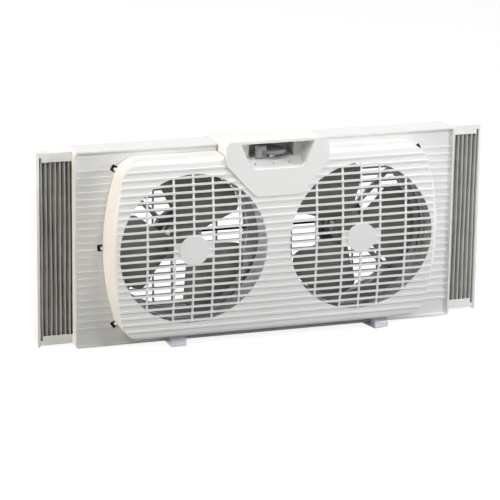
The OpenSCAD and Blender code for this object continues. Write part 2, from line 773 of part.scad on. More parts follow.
// Front half of the motor's case, with the flange that is screwed to the spider
module motor_can() {
    difference() {
        union() {
            translate([0, motor_y, 0]) rotate([-90, 0, 0]) cylinder(r = motor_r - 2, h = 3, $fn = 96);
            translate([0, motor_y + 2, 0]) rotate([-90, 0, 0]) cylinder(r = motor_r, h = seat_y - motor_y - 2, $fn = 96);
            translate([0, seat_y - flange_t, 0]) rotate([-90, 0, 0]) cylinder(r = motor_flange_r, h = flange_t, $fn = 96);
        }
        translate([0, motor_y + bearing_w + 1, 0]) rotate([-90, 0, 0]) cylinder(r = motor_r - 2, h = 80, $fn = 96);
        translate([0, motor_y + 1, 0]) rotate([-90, 0, 0]) cylinder(r = bearing_r, h = 80, $fn = 64);
        translate([0, motor_y - 1, 0]) rotate([-90, 0, 0]) cylinder(r = shaft_r + 1, h = 80, $fn = 64);
        for (a = [0:90:270]) rotate([0, a, 0]) translate([motor_screw_r, 0, 0]) rotate([-90, 0, 0])
            cylinder(r = motor_screw_shank, h = 80, $fn = 24);
        for (a = [0:30:330]) rotate([0, a, 0])
            translate([bearing_r + 5, motor_y - 1, -1.5]) cube([11, bearing_w + 4, 3]);
    }
}

// Rear half of the motor's case
module motor_cap() {
    difference() {
        union() {
            translate([0, seat_y + gap, 0]) rotate([-90, 0, 0]) cylinder(r = motor_r, h = motor_back_y - seat_y - gap - 2, $fn = 96);
            translate([0, motor_back_y - 3, 0]) rotate([-90, 0, 0]) cylinder(r = motor_r - 2, h = 3, $fn = 96);
        }
        translate([0, seat_y - 1, 0]) rotate([-90, 0, 0]) cylinder(r = motor_r - 2, h = motor_back_y - seat_y - bearing_w, $fn = 96);
        translate([0, seat_y - 1, 0]) rotate([-90, 0, 0]) cylinder(r = bearing_r, h = motor_back_y - seat_y, $fn = 64);
        for (a = [0:30:330]) rotate([0, a, 0])
            translate([bearing_r + 5, motor_back_y - bearing_w - 3, -1.5]) cube([11, bearing_w + 4, 3]);
    }
}

stator_y = motor_y + bearing_w + 1;
stator_d = motor_len - 2 * bearing_w - 2;

module stator() {
    translate([0, stator_y + 3, 0]) rotate([-90, 0, 0])
        difference() {
            cylinder(r = motor_r - 2 - press_fit, h = stator_d - 6, $fn = 96);
            translate([0, 0, -1]) cylinder(r = 17, h = 80, $fn = 64);
        }
}

module bearings() {
    for (y = [motor_y + 1 + gap / 10, motor_back_y - 1 - bearing_w - gap / 10])
        translate([0, y, 0]) rotate([-90, 0, 0])
            difference() {
                cylinder(r = bearing_r - press_fit, h = bearing_w, $fn = 64);
                translate([0, 0, -1]) cylinder(r = shaft_r + run_fit, h = bearing_w + 2, $fn = 64);
            }
}

shaft_front_y = hub_y - hub_d - 7;

module shaft() {
    translate([0, shaft_front_y, 0]) rotate([-90, 0, 0]) cylinder(r = shaft_r, h = motor_back_y - 2 - shaft_front_y, $fn = 64);
}

module rotor() {
    translate([0, stator_y + 4, 0]) rotate([-90, 0, 0])
        difference() {
            cylinder(r = 16.5, h = stator_d - 8, $fn = 64);
            translate([0, 0, -1]) cylinder(r = shaft_r + press_fit, h = 60, $fn = 64);
        }
}

// One blade as a lofted sheet. The angle runs over the sweep and the radius over the span.
blade_rows = 7;
blade_cols = 9;
blade_root_r = hub_r - 4;
function blade_span(i) = blade_root_r + (blade_r - blade_root_r) * i / (blade_rows - 1);
function blade_half(i) = blade_sweep / 2 * (1 - 0.16 * pow(1 - i / (blade_rows - 1), 2)
    - 0.42 * pow(max(0, i / (blade_rows - 1) - 0.72) / 0.28, 3));
function blade_point(i, j, side) = let (r = blade_span(i), t = 2 * j / (blade_cols - 1) - 1,
    a = blade_half(i) * t, thin = blade_t / 2 * (1 - 0.55 * t * t),
    lift = blade_rise / 2 * (0.94 * t - 0.22 * (1 - t * t)) * blade_half(i) / (blade_sweep / 2))
    [r * cos(a), lift + side * thin, r * sin(a)];

module blade() {
    n = blade_rows * blade_cols;
    points = [for (side = [-1, 1], i = [0:blade_rows - 1], j = [0:blade_cols - 1]) blade_point(i, j, side)];
    function id(side, i, j) = side * n + i * blade_cols + j;
    rows = blade_rows - 2;
    cols = blade_cols - 2;
    faces = concat(
        [for (i = [0:rows], j = [0:cols]) each quad(id(0, i, j), id(0, i + 1, j), id(0, i + 1, j + 1), id(0, i, j + 1))],
        [for (i = [0:rows], j = [0:cols]) each quad(id(1, i, j), id(1, i, j + 1), id(1, i + 1, j + 1), id(1, i + 1, j))],
        [for (i = [0:rows]) each quad(id(0, i, 0), id(1, i, 0), id(1, i + 1, 0), id(0, i + 1, 0))],
        [for (i = [0:rows]) each quad(id(0, i, cols + 1), id(0, i + 1, cols + 1), id(1, i + 1, cols + 1), id(1, i, cols + 1))],
        [for (j = [0:cols]) each quad(id(0, 0, j), id(0, 0, j + 1), id(1, 0, j + 1), id(1, 0, j))],
        [for (j = [0:cols]) each quad(id(0, rows + 1, j), id(1, rows + 1, j), id(1, rows + 1, j + 1), id(0, rows + 1, j + 1))]);
    polyhedron(points, faces);
}
function quad(a, b, c, d) = [[a, c, b], [a, d, c]];

module impeller() {
    difference() {
        union() {
            translate([0, hub_y - hub_d, 0]) rotate([-90, 0, 0]) cylinder(r = hub_r, h = hub_d, $fn = 96);
            for (b = [0:blade_count - 1]) rotate([0, b * 360 / blade_count, 0])
                translate([0, hub_y - hub_d / 2, 0]) blade();
        }
        translate([0, hub_y - hub_d + 3, 0]) rotate([-90, 0, 0])
            difference() {
                cylinder(r = hub_r - 2.5, h = hub_d, $fn = 96);
                translate([0, 0, -1]) cylinder(r = shaft_r + 4, h = hub_d + 2, $fn = 64);
            }
        translate([0, hub_y - hub_d - 1, 0]) rotate([-90, 0, 0]) cylinder(r = shaft_r + press_fit, h = 60, $fn = 64);
    }
}

module hub_nut() {
    translate([0, hub_y - hub_d - gap, 0]) rotate([90, 0, 0])
        difference() {
            union() {
                cylinder(r = 11, h = 5, $fn = 64);
                translate([0, 0, 5]) cylinder(r1 = 11, r2 = 8.5, h = 4, $fn = 64);
            }
            translate([0, 0, -1]) cylinder(r = shaft_r + press_fit, h = 8 + gap, $fn = 64);
        }
}

module at_fan(s) {
    translate([s * fan_x, 0, fan_z]) children();
}

// Full-height rail at the free end of a side panel
module end_rail(s) {
    color("ghostwhite") translate([s * (end_x - end_rail_t / 2) - end_rail_t / 2, rail_y, frame_z])
        cube([end_rail_t, rail_d, frame_h]);
}

// Channel that slides under the housing's top wall
module top_rail(s) {
    color("gainsboro") difference() {
        translate([s * (rail_x - rail_len / 2) - rail_len / 2, rail_y, rail_top_z - rail_h])
            cube([rail_len, rail_d, rail_h]);
        translate([s * (rail_x - rail_len / 2) - rail_len / 2 - 1, rail_y + rail_t, rail_top_z - rail_h - 1])
            cube([rail_len + 2, rail_d - 2 * rail_t, rail_h + 1 - rail_t]);
        translate([s * (rail_x - 2) - 2, rail_y - 1, rail_top_z - rail_h - 1]) cube([4, rail_t + 1, rail_h / 2 + 1]);
    }
}

module bottom_rail(s) {
    translate([0, 0, frame_z + frame_top]) mirror([0, 0, 1]) top_rail(s);
}

// Pleated sheet between the pocket's end and the end rail, with a flat hem at each end
module accordion(s) {
    from = pocket_wall_x + gap;
    to = rail_x - gap;
    last = rail_x - 2.9;
    count = floor((last - from) / pleat_pitch);
    first = last - count * pleat_pitch;
    lean = sheet_t * norm([pleat_d, pleat_pitch / 2]) / (pleat_pitch / 2);
    front = rail_y + rail_t + gap;
    pleats = [for (i = [0:2 * count]) [first + i * pleat_pitch / 2, front + (i % 2 == 0 ? pleat_d - lean : 0)]];
    face = concat([[from, front + pleat_d - lean]], pleats, [[to, front + pleat_d - lean]]);
    back = [for (i = [len(face) - 1:-1:0]) face[i] + [0, lean]];
    low = rail_low_z + rail_t + gap;
    high = rail_top_z - rail_t - gap;
    color("gray") mirror([s < 0 ? 1 : 0, 0, 0]) translate([0, 0, low])
        linear_extrude(height = high - low) polygon(concat(face, back));
}

// Side view of one hood, x from its tip towards the housing and y up
module hood_profile() {
    intersection() {
        translate([hood_h, 0]) circle(r = hood_h, $fn = 96);
        square([hood_len, hood_h]);
    }
}

module foot(turn) {
    translate([0, peg_y, 0]) rotate(turn) {
        translate([-foot_w / 2, 0, 0]) rotate([90, 0, 90]) linear_extrude(height = foot_w) {
            translate([-foot_front, 0]) hood_profile();
            translate([foot_back, 0]) mirror([1, 0]) hood_profile();
            translate([-foot_front + 0.5, 0]) square([foot_front + foot_back - 1, sole_t]);
        }
        translate([0, 0, sole_t - 1]) cylinder(r = peg_r, h = 1 + gap + socket_h + gap + 1, $fn = 48);
        translate([0, 0, frame_z + socket_h + gap]) cylinder(r = peg_r + 0.8, h = 1.6, $fn = 48);
    }
}

front_housing();
rear_housing();
front_cover();
rear_cover();
control_housing();
rotary_switch();
switch_nut();
knob();
switch_spindle();
motor_leads();
cord_inlet();
housing_screws();
motor_screws();
color("gray") at_fan(-1) motor_can();  // left_motor_can
color("gray") at_fan(1) motor_can();  // right_motor_can
color("gray") at_fan(-1) motor_cap();  // left_motor_cap
color("gray") at_fan(1) motor_cap();  // right_motor_cap
color("peru") at_fan(-1) stator();  // left_stator
color("peru") at_fan(1) stator();  // right_stator
color("goldenrod") at_fan(-1) bearings();  // left_bearings
color("goldenrod") at_fan(1) bearings();  // right_bearings
color("silver") at_fan(-1) shaft();  // left_shaft
color("silver") at_fan(1) shaft();  // right_shaft
color("silver") at_fan(-1) rotor();  // left_rotor
color("silver") at_fan(1) rotor();  // right_rotor
color("darkgray") at_fan(-1) rotate([0, -45, 0]) impeller();  // left_impeller
color("darkgray") at_fan(1) rotate([0, 0, 0]) impeller();  // right_impeller
color("gray") at_fan(-1) hub_nut();  // left_hub_nut
color("gray") at_fan(1) hub_nut();  // right_hub_nut
end_rail(-1);  // left_end_rail
end_rail(1);  // right_end_rail
top_rail(-1);  // left_top_rail
top_rail(1);  // right_top_rail
bottom_rail(-1);  // left_bottom_rail
bottom_rail(1);  // right_bottom_rail
accordion(-1);  // left_accordion
accordion(1);  // right_accordion
color("lavender") translate([-left_foot_x, 0, 0]) foot(0);  // left_foot
color("lavender") translate([right_foot_x, 0, 0]) foot(right_foot_turn);  // right_foot
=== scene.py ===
# Twin window fan: the visible pieces, finishes, light and camera, built round the CAD parts.
# Metres, X to the right, -Y towards the room, Z up, feet on z = 0.
import json
import math
import bmesh
import bpy
from mathutils import Matrix, Vector


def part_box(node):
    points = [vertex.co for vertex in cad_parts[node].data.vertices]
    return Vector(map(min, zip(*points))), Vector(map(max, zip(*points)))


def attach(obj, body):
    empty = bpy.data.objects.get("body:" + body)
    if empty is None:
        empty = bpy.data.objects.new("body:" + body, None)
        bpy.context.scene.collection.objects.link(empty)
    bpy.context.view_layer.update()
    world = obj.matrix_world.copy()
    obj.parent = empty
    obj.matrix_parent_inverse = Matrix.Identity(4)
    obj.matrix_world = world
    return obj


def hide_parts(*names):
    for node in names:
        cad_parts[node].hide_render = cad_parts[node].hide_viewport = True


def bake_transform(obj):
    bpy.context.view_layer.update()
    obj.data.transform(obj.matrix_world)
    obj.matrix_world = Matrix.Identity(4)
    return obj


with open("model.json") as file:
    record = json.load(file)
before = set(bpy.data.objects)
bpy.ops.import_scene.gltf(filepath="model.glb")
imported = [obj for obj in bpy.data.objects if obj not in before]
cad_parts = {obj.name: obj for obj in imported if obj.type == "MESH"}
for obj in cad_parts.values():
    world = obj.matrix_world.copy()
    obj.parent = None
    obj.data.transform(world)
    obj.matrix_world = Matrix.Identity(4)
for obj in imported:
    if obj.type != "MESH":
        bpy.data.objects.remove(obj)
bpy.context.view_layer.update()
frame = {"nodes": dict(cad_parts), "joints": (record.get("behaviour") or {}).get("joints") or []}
pivots = {joint["name"]: joint.get("pos_m") for joint in frame["joints"]}
fanX = pivots["right_fan_spin"][0]     # distance of each fan from the middle
fanZ = pivots["right_fan_spin"][2]     # height of both fans' centre line
sideNames = {-1: "left", 1: "right"}
facing = 0.9            # share of a normal or an edge that has to point the wanted way
hair = 0.0001           # how far from its place an edge is still picked
reach = 0.001           # the same at rounder places, and how far pieces and cutters run into their neighbours
touching = 0.00001      # points nearer than this are merged
print("stage 1: CAD frame loaded")


# small modelling helpers

def pickNone():
    if bpy.context.object and bpy.context.object.mode == "EDIT":
        bpy.ops.object.mode_set(mode="OBJECT")
    bpy.ops.object.select_all(action="DESELECT")


def pickOnly(piece):
    pickNone()
    piece.select_set(True)
    bpy.context.view_layer.objects.active = piece


def settle(name):
    # names the new primitive and moves its place into its mesh
    piece = bpy.context.object
    piece.name = name
    piece.data.name = name
    pickOnly(piece)
    bpy.ops.object.transform_apply(location=True, rotation=True, scale=True)
    return piece


def newBlock(name, low, high):
    pickNone()
    middle = [(a + b) / 2 for a, b in zip(low, high)]
    size = [b - a for a, b in zip(low, high)]
    bpy.ops.mesh.primitive_cube_add(size=1, location=middle, scale=size)
    return settle(name)


def newDisc(name, centre, radius, low, high, axis="Z", corners=64):
    # a disc along Z or Y from low to high, with its centre at the two places across that axis
    first, second = centre
    middle = (low + high) / 2
    place = (first, second, middle) if axis == "Z" else (first, middle, second)
    turn = (0, 0, 0) if axis == "Z" else (math.pi / 2, 0, 0)
    pickNone()
    bpy.ops.mesh.primitive_cylinder_add(vertices=corners, radius=radius, depth=high - low,
                                        location=place, rotation=turn)
    return settle(name)


def newGrid(name, columns, rows):
    # a flat grid one metre wide, whose points then take the sheet's shape
    pickNone()
    bpy.ops.mesh.primitive_grid_add(x_subdivisions=columns, y_subdivisions=rows, size=1)
    return settle(name)


def startEdit(piece, kind):
    pickOnly(piece)
    bpy.ops.object.mode_set(mode="EDIT")
    bpy.ops.mesh.select_mode(type=kind)
    bpy.ops.mesh.select_all(action="DESELECT")
    return bmesh.from_edit_mesh(piece.data)


def endEdit():
    bpy.ops.object.mode_set(mode="OBJECT")


def editFaces(piece, wanted):
    # opens the piece in edit mode with the faces chosen by their middle and normal
    form = startEdit(piece, "FACE")
    for face in form.faces:
        if wanted(face.calc_center_median(), face.normal):
            face.select_set(True)
    bmesh.update_edit_mesh(piece.data)


def editEdges(piece, wanted):
    # the same for edges, chosen by their middle and direction
    form = startEdit(piece, "EDGE")
    for edge in form.edges:
        a, b = edge.verts[0].co, edge.verts[1].co
        if wanted((a + b) / 2, (b - a).normalized()):
            edge.select_set(True)
    bmesh.update_edit_mesh(piece.data)


def sinkFaces(piece, rim, slope, deep, wanted):
    # leaves a rim round the chosen faces and sinks what is inside it
    editFaces(piece, wanted)
    bpy.ops.mesh.inset(thickness=rim, depth=0)
    bpy.ops.mesh.inset(thickness=slope, depth=-deep)
    endEdit()


def rollEdges(piece, width, segments, wanted):
    # rounds the chosen edges over
    editEdges(piece, wanted)
    bpy.ops.mesh.bevel(offset=width, segments=segments, affect="EDGES")
    endEdit()


def addModifier(piece, kind, **settings):
    pickOnly(piece)
    modifier = piece.modifiers.new(kind.title(), kind)
    for key, value in settings.items():
        setattr(modifier, key, value)
    bpy.ops.object.modifier_apply(modifier=modifier.name)


def roundEdges(piece, width, segments=2, angle=35):
    addModifier(piece, "BEVEL", width=width, segments=segments, limit_method="ANGLE",
                angle_limit=math.radians(angle), harden_normals=False)


def thicken(piece, thickness):
    addModifier(piece, "SOLIDIFY", thickness=thickness, offset=0.0, use_even_offset=True)


def smooth(piece, angle=32):
    pickOnly(piece)
    bpy.ops.object.shade_smooth_by_angle(angle=math.radians(angle))


def faceOutwards(piece):
    pickOnly(piece)
    bpy.ops.object.mode_set(mode="EDIT")
    bpy.ops.mesh.select_all(action="SELECT")
    bpy.ops.mesh.remove_doubles(threshold=touching)
    bpy.ops.mesh.normals_make_consistent(inside=False)
    endEdit()


def joinAll(pieces, name):
    pickNone()
    for piece in pieces:
        piece.select_set(True)
    bpy.context.view_layer.objects.active = pieces[0]
    bpy.ops.object.join()
    pieces[0].name = name
    return pieces[0]


def copyOf(piece, name, matrix):
    # a copy with its own mesh, put in its place by the matrix
    twin = piece.copy()
    twin.data = piece.data.copy()
    twin.name = name
    bpy.context.collection.objects.link(twin)
    twin.data.transform(matrix)
    return twin


def cutOut(piece, cutter):
    addModifier(piece, "BOOLEAN", operation="DIFFERENCE", object=cutter, solver="EXACT")
    bpy.data.objects.remove(cutter, do_unlink=True)


def shift(x, y, z):
    return Matrix.Translation((x, y, z))


def spin(degrees, axis):
    return Matrix.Rotation(math.radians(degrees), 4, axis)


def finishPiece(piece, body, material, slotName, *nodes):
    piece.data.materials.clear()
    piece.data.materials.append(material)
    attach(piece, body)
    if nodes:
        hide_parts(*nodes)


# finishes: patches, wear, grains, edges and heights are in metres
plastic = {"patch": 0.06, "wear": 0.03, "smoother": 0.05, "rougher": 0.06, "grain": 0.0009,
           "height": 0.000012}
metal = {"patch": 0.004, "smoother": 0.06, "rougher": 0.1, "grains": 6, "height": 0.00001, "edge": 0.0003,
         "ior": 2.5}
winding = {"light": "#B0683A", "dark": "#8C4A26", "patch": 0.006, "roughness": 0.32, "metallic": 0.85,
           "ior": 1.55, "bandScale": 2500.0, "waver": 0.6, "height": 0.00012}
pleated = {"light": "#C3C2BD", "dark": "#B1B0AA", "patch": 0.02, "roughness": 0.5, "ior": 1.49,
           "lineScale": 2200.0, "alongLines": 0.02, "height": 0.00003}


def toLinear(code):
    # sRGB hex colour to the linear values that a shader wants
    parts = [int(code[i:i + 2], 16) / 255 for i in (1, 3, 5)]
    return [p / 12.92 if p <= 0.04045 else ((p + 0.055) / 1.055) ** 2.4 for p in parts] + [1]


def addNode(tree, kind, place, **values):
    node = tree.nodes.new("ShaderNode" + kind)
    node.location = place
    for key, value in values.items():
        if key in node.inputs:
            node.inputs[key].default_value = value
        else:
            setattr(node, key, value)
    return node


def newFinish(name, roughness, ior, metallic=0.0):
    material = bpy.data.materials.new(name)
    material.use_nodes = True
    tree = material.node_tree
    shader = tree.nodes["Principled BSDF"]
    shader.inputs["Roughness"].default_value = roughness
    shader.inputs["Metallic"].default_value = metallic
    shader.inputs["IOR"].default_value = ior
    place = addNode(tree, "TexCoord", (-1300, 0))
    return material, tree, shader, place


def mottle(tree, place, shader, light, dark, size):
    # slow colour variation between two near shades
    noise = addNode(tree, "TexNoise", (-900, 300), Scale=1 / size, Detail=3.0, Roughness=0.55)
    tree.links.new(place.outputs["Object"], noise.inputs["Vector"])
    ramp = addNode(tree, "ValToRGB", (-600, 300))
    for end, position, colour in ((0, 0.3, dark), (1, 0.7, light)):
        ramp.color_ramp.elements[end].position = position
        ramp.color_ramp.elements[end].color = toLinear(colour)
    tree.links.new(noise.outputs["Fac"], ramp.inputs["Fac"])
    tree.links.new(ramp.outputs["Color"], shader.inputs["Base Color"])


def raiseBump(tree, pattern, shader, height):
    # the pattern stands up from the surface by the height
    bump = addNode(tree, "Bump", (-400, -300), Strength=1.0, Distance=height)
    tree.links.new(pattern.outputs["Fac"], bump.inputs["Height"])
    tree.links.new(bump.outputs["Normal"], shader.inputs["Normal"])
    return bump


def grain(tree, place, shader, size, height, edge):
    # fine moulded grain as a bump over edges that look softly rounded
    noise = addNode(tree, "TexNoise", (-900, -300), Scale=1 / size, Detail=2.0)
    tree.links.new(place.outputs["Object"], noise.inputs["Vector"])
    bump = raiseBump(tree, noise, shader, height)
    if edge:
        rounder = addNode(tree, "Bevel", (-650, -500), samples=4, Radius=edge)
        tree.links.new(rounder.outputs["Normal"], bump.inputs["Normal"])


def polishShift(tree, place, shader, low, high, size):
    # roughness that wanders a little, as handling leaves it
    noise = addNode(tree, "TexNoise", (-900, 0), Scale=1 / size, Detail=4.0)
    tree.links.new(place.outputs["Object"], noise.inputs["Vector"])
    spread = addNode(tree, "MapRange", (-600, 0))
    spread.inputs["To Min"].default_value = low
    spread.inputs["To Max"].default_value = high
    tree.links.new(noise.outputs["Fac"], spread.inputs["Value"])
    tree.links.new(spread.outputs["Result"], shader.inputs["Roughness"])


def mouldedPlastic(name, light, dark, roughness, edge=0.0005, ior=1.5):
    # moulded plastic or rubber with a fine spark grain
    material, tree, shader, place = newFinish(name, roughness, ior)
    mottle(tree, place, shader, light, dark, plastic["patch"])
    polishShift(tree, place, shader, roughness - plastic["smoother"], roughness + plastic["rougher"],
                plastic["wear"])
    grain(tree, place, shader, plastic["grain"], plastic["height"], edge)
    return material


def bareMetal(name, light, dark, roughness):
    # plated or sintered metal with a fine uneven surface
    material, tree, shader, place = newFinish(name, roughness, metal["ior"], metallic=1.0)
    mottle(tree, place, shader, light, dark, metal["patch"])
    polishShift(tree, place, shader, roughness - metal["smoother"], roughness + metal["rougher"],
                metal["patch"])
    grain(tree, place, shader, metal["patch"] / metal["grains"], metal["height"], metal["edge"])
    return material


def windingFinish(w):
    # enamelled copper wire, its turns 0.13 mm apart and running round the motor's axis
    material, tree, shader, place = newFinish("enamelledCopper", w["roughness"], w["ior"], w["metallic"])
    mottle(tree, place, shader, w["light"], w["dark"], w["patch"])
    wave = addNode(tree, "TexWave", (-900, -300), Scale=w["bandScale"], Distortion=w["waver"])
    wave.bands_direction = "Y"
    tree.links.new(place.outputs["Object"], wave.inputs["Vector"])
    raiseBump(tree, wave, shader, w["height"])
    return material


def pleatFinish(p):
    # pleated polypropylene sheet: mottled warm grey with fine pressed lines that run up it
    material, tree, shader, place = newFinish("pleatedSheet", p["roughness"], p["ior"])
    mottle(tree, place, shader, p["light"], p["dark"], p["patch"])
    stretched = addNode(tree, "Mapping", (-1100, -300), Scale=(1.0, 1.0, p["alongLines"]))
    lines = addNode(tree, "TexNoise", (-900, -300), Scale=p["lineScale"], Detail=2.0)
    tree.links.new(place.outputs["Object"], stretched.inputs["Vector"])
    tree.links.new(stretched.outputs["Vector"], lines.inputs["Vector"])
    raiseBump(tree, lines, shader, p["height"])
    return material


finishes = {
    "housing": mouldedPlastic("satinWhiteAbs", "#ECECEA", "#E7E7E5", 0.42, 0.0002),     # housing halves
    "rail": mouldedPlastic("brightWhiteHips", "#F5F5F2", "#F0F0ED", 0.45, 0.0004),      # side panels' rails
    "cover": mouldedPlastic("brightWhiteAbs", "#F4F4F1", "#EFEFEC", 0.4, 0.00015),      # covers and shield
    "duct": mouldedPlastic("charcoalPolypropylene", "#5A5B5D", "#505153", 0.5, 0.0),    # painted shade: dark grey sheet inside the ducts
    "foam": mouldedPlastic("blackFoam", "#161616", "#101010", 0.9, 0.0, 1.4),           # painted shade: black at the tab slots
    "knob": mouldedPlastic("greyNylon", "#ABABAA", "#9E9E9D", 0.46),                    # control knob
    "blade": mouldedPlastic("darkGreyPolypropylene", "#8F8E89", "#83827D", 0.38),       # blades and hubs
    "foot": mouldedPlastic("lavenderGreyPolypropylene", "#F4F2FC", "#ECEAF7", 0.3, 0.0008),
    "motor": bareMetal("zincPlatedCan", "#8D8F90", "#77797B", 0.4),                     # motor cans and caps
    "steel": bareMetal("brightSteel", "#C4C6C8", "#ACAEB0", 0.25),                      # shafts, screws, nut
    "brass": bareMetal("sinteredBronze", "#B08A4E", "#96713A", 0.42),                   # bearings
    "black": mouldedPlastic("blackNylon", "#232324", "#1B1B1C", 0.5, 0.0003),           # switch body
    "rubber": mouldedPlastic("blackRubber", "#1F1F1F", "#181818", 0.7, 0.0003, 1.52),   # sleeves and grommet
    "print": mouldedPlastic("greyPrint", "#6B6C70", "#606165", 0.6, 0.0),               # dial figures
    "winding": windingFinish(winding),
    "pleat": pleatFinish(pleated),
}

nodeFinish = {
    "front_housing": "housing", "rear_housing": "housing", "front_cover": "cover", "rear_cover": "cover",
    "control_housing": "cover", "rotary_switch": "black", "switch_nut": "steel", "switch_spindle": "steel",
    "motor_leads": "rubber", "cord_inlet": "rubber", "motor_screws": "steel",
}
for name in sideNames.values():
    nodeFinish.update({name + "_motor_can": "motor", name + "_motor_cap": "motor",
                       name + "_stator": "winding", name + "_bearings": "brass",
                       name + "_shaft": "steel", name + "_rotor": "steel",
                       name + "_top_rail": "rail", name + "_bottom_rail": "rail"})
for node, finish in nodeFinish.items():
    for slot in frame["nodes"][node].material_slots:
        slot.material = finishes[finish]
print("stage 2: finishes on the CAD parts")


# speed knob: a low disc with a ribbed edge, and a raised grip with a pointer line along its top
knob = {"discLow": 0.2885, "discTop": 0.2925, "radius": 0.0224, "edge": 0.0003,
        "ribs": 48, "ribDepth": 0.0006, "ribRim": 0.00018,
        "faceRim": 0.0022, "faceSlope": 0.0008, "faceDeep": 0.0005,
        "gripFrom": 0.013, "gripOut": 0.0288, "gripWidth": 0.0117, "gripLow": 0.2826, "gripTop": 0.2994,
        "gripNose": 0.92, "noseSteps": 8, "gripRound": 0.0016, "roundSteps": 4, "gripEdge": 0.0005,
        "lineWidth": 0.0016, "lineOuterGap": 0.003, "lineInnerGap": 0.002, "lineDepth": 0.0009,
        "stemRadius": 0.0069, "stemLow": 0.286, "stemTop": 0.2886, "turn": -67.0}


def makeKnobDisc(k, x, y):
    sides = k["ribs"] * 2
    step = 2 * math.pi / sides
    disc = newDisc("knobDisc", (x, y), k["radius"], k["discLow"], k["discTop"], corners=sides)
    # every second side face goes in, which leaves the finger ribs
    editFaces(disc, lambda mid, n: abs(n.z) < facing
              and int(round((math.atan2(mid.y - y, mid.x - x) / step) - 0.5)) % 2 == 0)
    bpy.ops.mesh.inset(thickness=k["ribRim"], depth=-k["ribDepth"], use_individual=True)
    endEdit()
    sinkFaces(disc, k["faceRim"], k["faceSlope"], k["faceDeep"], lambda mid, n: n.z > facing)
    roundEdges(disc, k["edge"], angle=40)
    return disc


def makeKnobGrip(k, x, y):
    # a bar across the disc's rim, rounded at its outer end
    half = k["gripWidth"] / 2
    outerY, innerY = y - k["gripOut"], y - k["gripFrom"]
    grip = newBlock("knobGrip", (x - half, outerY, k["gripLow"]), (x + half, innerY, k["gripTop"]))
    rollEdges(grip, half * k["gripNose"], k["noseSteps"],
              lambda mid, way: abs(way.z) > facing and mid.y < outerY + reach)
    rollEdges(grip, k["gripRound"], k["roundSteps"], lambda mid, way: mid.z > k["gripTop"] - hair)
    roundEdges(grip, k["gripEdge"], angle=40)
    halfLine = k["lineWidth"] / 2
    line = newBlock("knobLine", (x - halfLine, outerY + k["lineOuterGap"], k["gripTop"] - k["lineDepth"]),
                    (x + halfLine, innerY - k["lineInnerGap"], k["gripTop"] + k["lineDepth"]))
    cutOut(grip, line)
    return grip


def makeKnob(k):
    x, y = pivots["knob_turn"][:2]
    disc = makeKnobDisc(k, x, y)
    grip = makeKnobGrip(k, x, y)
    stem = newDisc("knobStem", (x, y), k["stemRadius"], k["stemLow"], k["stemTop"])
    roundEdges(stem, k["edge"])
    whole = joinAll([disc, grip, stem], "speedKnob")
    whole.data.transform(shift(x, y, 0) @ spin(k["turn"], "Z") @ shift(-x, -y, 0))
    smooth(whole)
    finishPiece(whole, "knob", finishes["knob"], "knob_grey", "knob")


makeKnob(knob)


# dial figures on the sloping shelf in front of the knob
dial = {"figures": (("2", -0.031), ("1", -0.002), ("0", 0.023)), "size": 0.0075, "lift": 0.00012,
        "depth": 0.00025, "lowY": -0.048, "lowZ": 0.27, "highY": -0.017, "highZ": 0.281, "along": 0.42}


def makeFigures(d):
    run, climb = d["highY"] - d["lowY"], d["highZ"] - d["lowZ"]
    slope = math.atan2(climb, run)
    y = d["lowY"] + d["along"] * run
    z = d["lowZ"] + d["along"] * climb + d["lift"]
    for text, x in d["figures"]:
        pickNone()
        bpy.ops.object.text_add(location=(x, y, z), rotation=(slope, 0, 0))
        figure = bpy.context.object
        figure.data.body = text
        figure.data.size = d["size"]
        figure.data.align_x = "CENTER"
        figure.data.align_y = "CENTER"
        figure.data.extrude = d["depth"] / 2
        pickOnly(figure)
        bpy.ops.object.convert(target="MESH")
        figure = settle("dialFigure" + text)
        faceOutwards(figure)
        finishPiece(figure, "housing", finishes["print"], "knob_grey")


makeFigures(dial)
print("stage 3: knob and dial")


# impellers: three broad twisted blades on a hub with a rounded nose
fan = {"blades": 3, "turns": {-1: 50.0, 1: 0.0}, "rows": 16, "cols": 26,
       "sweep": 84.0, "rise": 0.024, "pitch": 0.94, "camber": 0.22,
       "rootR": 0.0245, "tipR": 0.1079, "rootNarrow": 0.16, "tipNarrow": 0.42, "tipFrom": 0.72,
       "thick": 0.0019, "bladeEdge": 0.0006,
       "hubR": 0.0268, "hubFront": -0.0111, "hubBack": 0.0107, "hubCorners": 96,
       "hubNose": 0.004, "noseSteps": 5, "hubWall": 0.0025, "hubSlope": 0.0002, "hubHollow": 0.0186,
       "bossR": 0.0078, "bossHalf": 0.0099, "bossCorners": 48}


def makeBlade(f):
    blade = newGrid("blade", f["rows"], f["cols"])
    middle = (f["hubFront"] + f["hubBack"]) / 2
    for vertex in blade.data.vertices:
        u = vertex.co.x + 0.5     # 0 at the root, 1 at the tip
        t = vertex.co.y * 2       # -1 and 1 at the two long edges
        tip = max(0.0, u - f["tipFrom"]) / (1 - f["tipFrom"])
        radius = f["rootR"] + (f["tipR"] - f["rootR"]) * u
        share = 1 - f["rootNarrow"] * (1 - u) ** 2 - f["tipNarrow"] * tip ** 3
        angle = math.radians(f["sweep"] / 2 * share * t)
        lift = f["rise"] / 2 * (f["pitch"] * t - f["camber"] * (1 - t * t)) * share
        vertex.co = (radius * math.cos(angle), middle + lift, radius * math.sin(angle))
    faceOutwards(blade)
    thicken(blade, f["thick"])
    roundEdges(blade, f["bladeEdge"], angle=60)
    return blade


